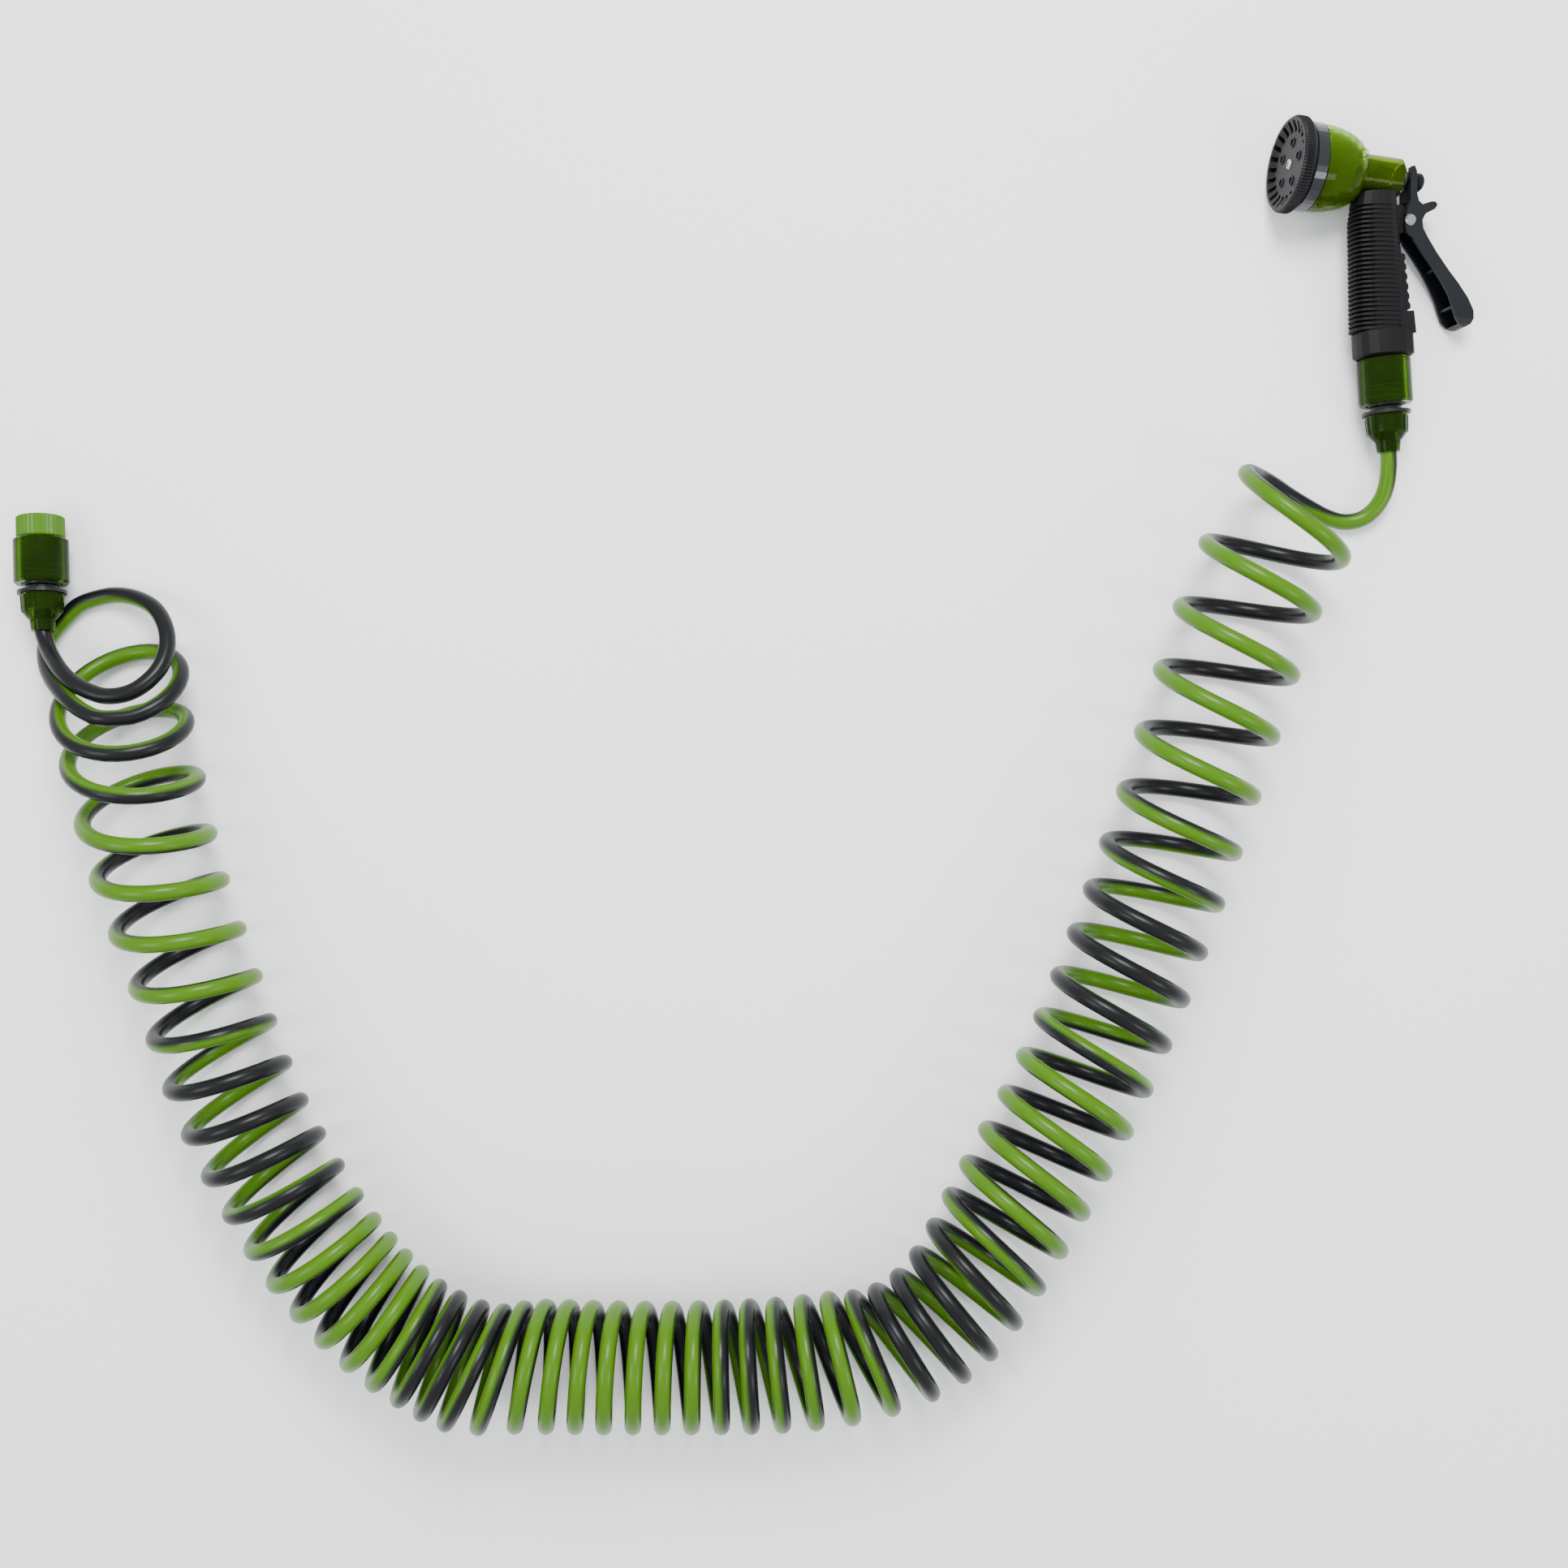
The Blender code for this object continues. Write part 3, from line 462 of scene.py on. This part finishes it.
def add_box(bm, low, high, place=None):
    """Adds a box between two corners, moved by place."""
    corners = [(x, y, z) for z in (low[2], high[2]) for x, y in
               ((low[0], low[1]), (high[0], low[1]), (high[0], high[1]), (low[0], high[1]))]
    verts = [bm.verts.new((place @ Vector(c)) if place else c) for c in corners]
    for quad in ((3, 2, 1, 0), (4, 5, 6, 7), (0, 1, 5, 4), (1, 2, 6, 5), (2, 3, 7, 6), (3, 0, 4, 7)):
        bm.faces.new([verts[i] for i in quad])


def add_loft(bm, rings):
    """Adds a closed solid through rings of the same number of points."""
    loops = [[bm.verts.new(p) for p in ring] for ring in rings]
    count = len(loops[0])
    for low, high in zip(loops, loops[1:]):
        for i in range(count):
            j = (i + 1) % count
            bm.faces.new((low[i], low[j], high[j], high[i]))
    bm.faces.new(list(reversed(loops[0])))
    bm.faces.new(loops[-1])


def carve(ob, add_cuts):
    """Cuts away from the piece what add_cuts adds to an empty mesh, in the piece's own frame."""
    bm = bmesh.new()
    add_cuts(bm)
    cutter = mesh_piece("cutter", bm, Matrix.Identity(4))
    links = bpy.context.scene.collection.objects
    links.link(ob)
    links.link(cutter)
    boolean = ob.modifiers.new("cut", "BOOLEAN")
    boolean.solver = "EXACT"
    boolean.use_self = True
    boolean.operation = "DIFFERENCE"
    boolean.object = cutter
    bpy.context.view_layer.update()
    cut = bpy.data.meshes.new_from_object(ob.evaluated_get(bpy.context.evaluated_depsgraph_get()))
    ob.modifiers.clear()
    ob.data = cut
    bpy.data.objects.remove(cutter)
    links.unlink(ob)
    return ob


# The hose

def coil_at(turn):
    """Middle, direction, lean and radius of the coil at a turn, on a smooth curve through ROUTE."""
    last = len(ROUTE) - 1
    i = min(max(sum(row[0] <= turn for row in ROUTE) - 1, 0), last - 1)
    a, b, c, d = (Vector(ROUTE[min(max(j, 0), last)]) for j in (i - 1, i, i + 1, i + 2))
    step = c[0] - b[0]
    u = (turn - b[0]) / step
    leave = (c - a) * (step / (c[0] - a[0]))
    arrive = (d - b) * (step / (d[0] - b[0]))
    row = (b * (2 * u ** 3 - 3 * u ** 2 + 1) + leave * (u ** 3 - 2 * u ** 2 + u)
           + c * (3 * u ** 2 - 2 * u ** 3) + arrive * (u ** 3 - u ** 2))
    heading, lean, radius = radians(row[3]), radians(row[4]), row[5] / 1000
    middle = Vector((row[1] / 1000, row[2] / 1000, radius * cos(lean) + HOSE_R + GAP))
    return middle, Vector((sin(heading), -cos(heading), 0.0)), lean, radius


def hose_point(turn):
    """Point on the hose's own axis, and the way from the coil's middle to it."""
    middle, along, lean, radius = coil_at(turn)
    side = Vector((-along.y, along.x, 0.0))
    up = Vector((0.0, 0.0, 1.0)) * cos(lean) + along * sin(lean)
    out = sin(2 * pi * turn) * side + cos(2 * pi * turn) * up
    return middle + radius * out, out


def lead_line(exit_point, axis, lead, turns, per_gap=4):
    """The hose from inside its nut to the coil. The last control points lie on the coil itself."""
    control = [exit_point + axis * (NUT_IN - GAP), exit_point] + [Vector(p) for p in lead]
    control += [hose_point(turn)[0] for turn in turns]
    steps = (len(control) - len(turns)) * per_gap
    return [smooth(control, i / per_gap) for i in range(steps)]


def twist_at(turn):
    """Degrees of twist at a turn, on straight lines between the rows of TWIST."""
    for (a, low), (b, high) in zip(TWIST, TWIST[1:]):
        if turn <= b:
            u = max(0.0, (turn - a) / (b - a))
            return low + (high - low) * u
    return TWIST[-1][1]


def build_hose():
    """Tube in two colours, whose seam turns round the hose as it goes along."""
    tap_part = lead_line(joint_point("tap_turn"), joint_axis("tap_turn"), TAP_LEAD,
                         [TAP_JOIN, TAP_JOIN + 1 / 24])
    gun_part = lead_line(joint_point("gun_turn"), joint_axis("gun_turn"), GUN_LEAD,
                         [GUN_JOIN, GUN_JOIN - 1 / 24])[::-1]
    count = int((GUN_JOIN - TAP_JOIN) * STEPS)
    turns = [TAP_JOIN + (GUN_JOIN - TAP_JOIN) * i / count for i in range(count + 1)]
    path, outs, twists = list(tap_part), [None] * len(tap_part), []
    for i in range(len(tap_part)):
        twists.append(twist_at(TAP_JOIN - 1.15 * (1 - i / len(tap_part))))
    for turn in turns:
        point, out = hose_point(turn)
        path.append(point)
        outs.append(out)
        twists.append(twist_at(turn))
    for i in range(len(gun_part)):
        path.append(gun_part[i])
        outs.append(None)
        twists.append(twist_at(GUN_JOIN + 0.7 * (i + 1) / len(gun_part)))
    last = len(path) - 1
    tangents = [(path[min(i + 1, last)] - path[max(i - 1, 0)]).normalized() for i in range(last + 1)]
    carry_outward(outs, tangents)

    bm = bmesh.new()
    shade = bm.verts.layers.float.new("round_it")
    rings = []
    for point, tangent, out, twist in zip(path, tangents, outs, twists):
        out = (out - tangent * out.dot(tangent)).normalized()
        across = tangent.cross(out)
        turned = radians(twist)
        green = out * cos(turned) + across * sin(turned)
        beside = tangent.cross(green)
        ring = []
        for k in range(SIDES):
            a = 2 * pi * k / SIDES
            vert = bm.verts.new(point + HOSE_R * (cos(a) * green + sin(a) * beside))
            vert[shade] = 1 - abs(cos(a))
            ring.append(vert)
        rings.append(ring)
    for low, high in zip(rings, rings[1:]):
        for k in range(SIDES):
            j = (k + 1) % SIDES
            face = bm.faces.new((low[k], low[j], high[j], high[k]))
            face.material_index = 0 if cos(2 * pi * (k + 0.5) / SIDES) > 0 else 1
    bm.faces.new(list(reversed(rings[0])))
    bm.faces.new(rings[-1])
    hose = mesh_piece("hose", bm, Matrix.Identity(4))
    show(hose, [HOSE_GREEN, HOSE_DARK], "hose", "hose_coil", "hose_tap_lead", "hose_gun_lead", slot="hose")


def carry_outward(outs, tangents):
    """Fills in the outward direction along the leads, carried from the coil without turning."""
    known = [i for i, out in enumerate(outs) if out is not None]
    for i in range(known[0] - 1, -1, -1):
        carried = outs[i + 1]
        outs[i] = (carried - tangents[i] * carried.dot(tangents[i])).normalized()
    for i in range(known[-1] + 1, len(outs)):
        carried = outs[i - 1]
        outs[i] = (carried - tangents[i] * carried.dot(tangents[i])).normalized()


build_hose()


# The spray gun

def dial_section(step):
    """Section of the dial at a step round it. Its band is ridged, and its face lies below the rim."""
    band = DIAL_R - DIAL_RIDGE * (step % 2)
    return [(0.0, DIAL_FLOOR), (DIAL_R - DIAL_DISH, DIAL_FLOOR), (DIAL_R - DIAL_SLOPE, DIAL_FACE),
            (DIAL_R - DIAL_LIP, DIAL_FACE), (band, DIAL_FACE - DIAL_EDGE), (band, DIAL_BASE + DIAL_EDGE),
            (DIAL_R - DIAL_EDGE, DIAL_BASE), (0.0, DIAL_BASE)]


def outlet_places():
    """Frames of the outlets, in a ring round the dial's middle."""
    return [Matrix.Rotation(radians(60 + 360 * i / OUTLETS), 4, "Z") @ Matrix.Translation((OUTLET_AT, 0, 0))
            for i in range(OUTLETS)]


def add_dial_cuts(bm):
    """Adds the slots in the dial's slope and the bores of its outlets."""
    for i in range(DIAL_SLOTS):
        low = (DIAL_R - 0.0112, -0.0016, DIAL_FLOOR - 0.0014)
        high = (DIAL_R - 0.0036, 0.0016, DIAL_FACE + 0.001)
        add_box(bm, low, high, Matrix.Rotation(2 * pi * i / DIAL_SLOTS, 4, "Z"))
    hole = [(0.0, DIAL_FLOOR - 0.0018), (OUTLET_BORE_R, DIAL_FLOOR - 0.0018),
            (OUTLET_BORE_R, DIAL_FLOOR + 0.001), (0.0, DIAL_FLOOR + 0.001)]
    for place in outlet_places():
        add_turned(bm, hole, 20, place)


def build_dial():
    """Spray dial with its ridged band, slots and outlets, in place of the plain one."""
    bm = bmesh.new()
    add_turned(bm, dial_section, 2 * DIAL_RIDGES)
    dial = carve(mesh_piece("dial_face", bm, Matrix.Identity(4)), add_dial_cuts)
    dial.data.transform(BARREL)
    show(crisp(dial), [DIAL_BLACK], "dial", "spray_dial")

    bm = bmesh.new()
    ring = [(OUTLET_BORE_R, DIAL_FLOOR - 0.0004), (OUTLET_R, DIAL_FLOOR - 0.0004),
            (OUTLET_R, DIAL_FLOOR + 0.0008), (OUTLET_BORE_R, DIAL_FLOOR + 0.0008)]
    nozzle = [(0.0, DIAL_FLOOR - 0.0019), (0.0008, DIAL_FLOOR - 0.0019), (0.0006, DIAL_FLOOR + 0.0003),
              (0.0, DIAL_FLOOR + 0.0003)]
    for place in outlet_places():
        add_turned(bm, ring, 24, place)
        add_turned(bm, nozzle, 12, place)
    show(crisp(mesh_piece("dial_outlets", bm, BARREL)), [DIAL_BLACK], "dial", slot="dial_black")


def build_screw():
    """Screw in the middle of the dial, with its cross slot."""
    bm = bmesh.new()
    head = [(0.0, DIAL_FLOOR), (SCREW_R, DIAL_FLOOR + 0.0002), (SCREW_R - 0.0004, DIAL_FLOOR + 0.0009),
            (SCREW_R - 0.0014, DIAL_FLOOR + 0.0014), (0.0, DIAL_FLOOR + 0.0016)]
    add_turned(bm, head, 32)

    def add_cross(cut):
        for turn in (30, 120):
            add_box(cut, (-0.0024, -0.0004, DIAL_FLOOR + 0.0007), (0.0024, 0.0004, DIAL_FLOOR + 0.003),
                    Matrix.Rotation(radians(turn), 4, "Z"))
    screw = carve(mesh_piece("screw_head", bm, Matrix.Identity(4)), add_cross)
    screw.data.transform(BARREL)
    show(crisp(screw), [STEEL], "dial", "dial_screw")


def build_spring():
    """Spring that closes the valve. In the real gun it shortens as the trigger draws the stem back; here it
    rides on the gun unchanged.
    """
    count = SPRING_TURNS * 16
    points = []
    for i in range(count + 1):
        a = 2 * pi * SPRING_TURNS * i / count
        points.append(Vector((SPRING_R * cos(a), SPRING_R * sin(a),
                              SPRING_FROM + (SPRING_TO - SPRING_FROM) * i / count)))
    bm = bmesh.new()
    add_wire(bm, points, SPRING_WIRE)
    spring = show(mesh_piece("valve_spring", bm, BARREL), [SPRING_STEEL], "gun", slot="steel")
    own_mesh(spring)


def bell_radius(at):
    """Outside radius of the bell, a distance along the barrel."""
    share = (COLLAR_AT - at) / (COLLAR_AT - NECK_AT)
    return BARREL_R + (COLLAR_R - 0.0004 - BARREL_R) * (1 - share * share) ** 0.5


def build_bell_marks():
    """Moulding mark on the bell's upper side, and the peg at its edge."""
    bm = bmesh.new()
    at = NECK_AT + 0.0075
    rise = (bell_radius(at + 0.001) - bell_radius(at - 0.001)) / 0.002
    lean = Matrix.Translation((bell_radius(at) - 0.0001, 0, at)) @ Matrix.Rotation(pi / 2 - rise, 4, "Y")
    mark = Matrix.Rotation(radians(-75), 4, "Z") @ lean
    add_turned(bm, [(0.0030, -0.0003), (0.0036, -0.0003), (0.0035, 0.0003), (0.0031, 0.0003)], 28, mark)
    out = Matrix.Translation((COLLAR_R - 0.0012, 0, COLLAR_AT - 0.0042)) @ Matrix.Rotation(pi / 2, 4, "Y")
    peg = Matrix.Rotation(radians(196), 4, "Z") @ out
    add_turned(bm, [(0.0, 0.0), (0.0020, 0.0), (0.0022, 0.0010), (0.0017, 0.0022), (0.0, 0.0026)], 20, peg)
    show(crisp(mesh_piece("bell_marks", bm, BARREL)), [CLEAR_YELLOW], "gun", slot="clear_green")


def build_trigger_ribs():
    """Ribs across the hollow of the trigger."""
    bm = bmesh.new()
    for x_in, y_in, x_out, y_out in ((0.0395, 0.0600, 0.0474, 0.0594), (0.0500, 0.0330, 0.0620, 0.0322)):
        add_box(bm, (x_in, y_out - 0.0005, -0.0072), (x_out, y_in + 0.0005, 0.0072))
    show(mesh_piece("trigger_ribs", bm, HANDLE), [TRIGGER_GREY], "trigger", slot="trigger_grey", flat=True)


# The two click connectors

def build_nut_ribs(name, place):
    """Ribs on the hose nut, and the thread that is seen through it."""
    bm = bmesh.new()
    foot, top = RIB_R
    for i in range(NUT_RIBS):
        rings = []
        for h, s in ((0.0125, 0.93), (0.0150, 0.97), (0.0245, 1.0)):
            rings.append([(foot * s, -0.0006, h), (foot * s, 0.0006, h),
                          (top * s, 0.0004, h), (top * s, -0.0004, h)])
        add_loft(bm, rings)
        bmesh.ops.rotate(bm, verts=bm.verts, matrix=Matrix.Rotation(2 * pi / NUT_RIBS, 3, "Z"))
    show(crisp(mesh_piece(name + "_nut_ribs", bm, place @ UP_Y)), [CLEAR_GREEN], "hose", slot="clear_green")
    bm = bmesh.new()
    for i in range(THREAD_TURNS):
        at = THREAD_START + THREAD_PITCH * i
        thread = [(0.0103, at), (0.0109, at + 0.0004), (0.0109, at + 0.0007), (0.0103, at + 0.0011)]
        add_turned(bm, thread, 36)
    show(crisp(mesh_piece(name + "_nut_thread", bm, place @ UP_Y)), [INNER_BLACK], "hose",
         slot="inner_black")


def build_painted_highlight_rings(name, place):
    """Painted highlights: bright rings under the sleeve, standing in for the highlight lines on it. One
    leans.
    """
    bm = bmesh.new()
    ring = [(0.01308, -0.0003), (0.01345, -0.0003), (0.01345, 0.0003), (0.01308, 0.0003)]
    for rise, lean in PAINTED_HIGHLIGHT_RINGS:
        tilt = Matrix.Translation((0.0, 0.0, SLEEVE_START + rise)) @ Matrix.Rotation(radians(lean), 4, "Y")
        add_turned(bm, ring, 40, tilt)
    show(crisp(mesh_piece(name + "_painted_highlight_rings", bm, place @ UP_Y)), [PAINTED_HIGHLIGHT_GREEN], "hose",
         slot="bright_green")


# CAD nodes that stay get their own finish

def finish_nodes():
    """Gives every rigid CAD node its material, in place of its plain one."""
    finishes = {
        "tap_hose_nut": CLEAR_GREEN, "gun_hose_nut": CLEAR_GREEN,
        "tap_connector_body": INNER_BLACK, "gun_connector_body": INNER_BLACK,
        "tap_sleeve": CLEAR_GREEN, "gun_sleeve": CLEAR_GREEN,
        "tap_adaptor": BRIGHT_GREEN, "tap_washer": SEAL,
        "gun_grip": GRIP_BLACK, "gun_barrel": CLEAR_YELLOW, "dial_collar": COLLAR_GLOSS,
        "spray_dial": DIAL_BLACK, "dial_screw": STEEL, "stem_gland": INNER_BLACK,
        "valve_stem": GRIP_BLACK, "trigger": TRIGGER_GREY, "trigger_pin": STEEL,
    }
    for name, mat in finishes.items():
        node = NODES[name]
        node.data.materials.clear()
        node.data.materials.append(mat)


build_dial()
build_screw()
build_spring()
build_bell_marks()
build_trigger_ribs()
for end, place in (("tap", TAP), ("gun", GUN)):
    build_nut_ribs(end, place)
    build_painted_highlight_rings(end, place)
finish_nodes()
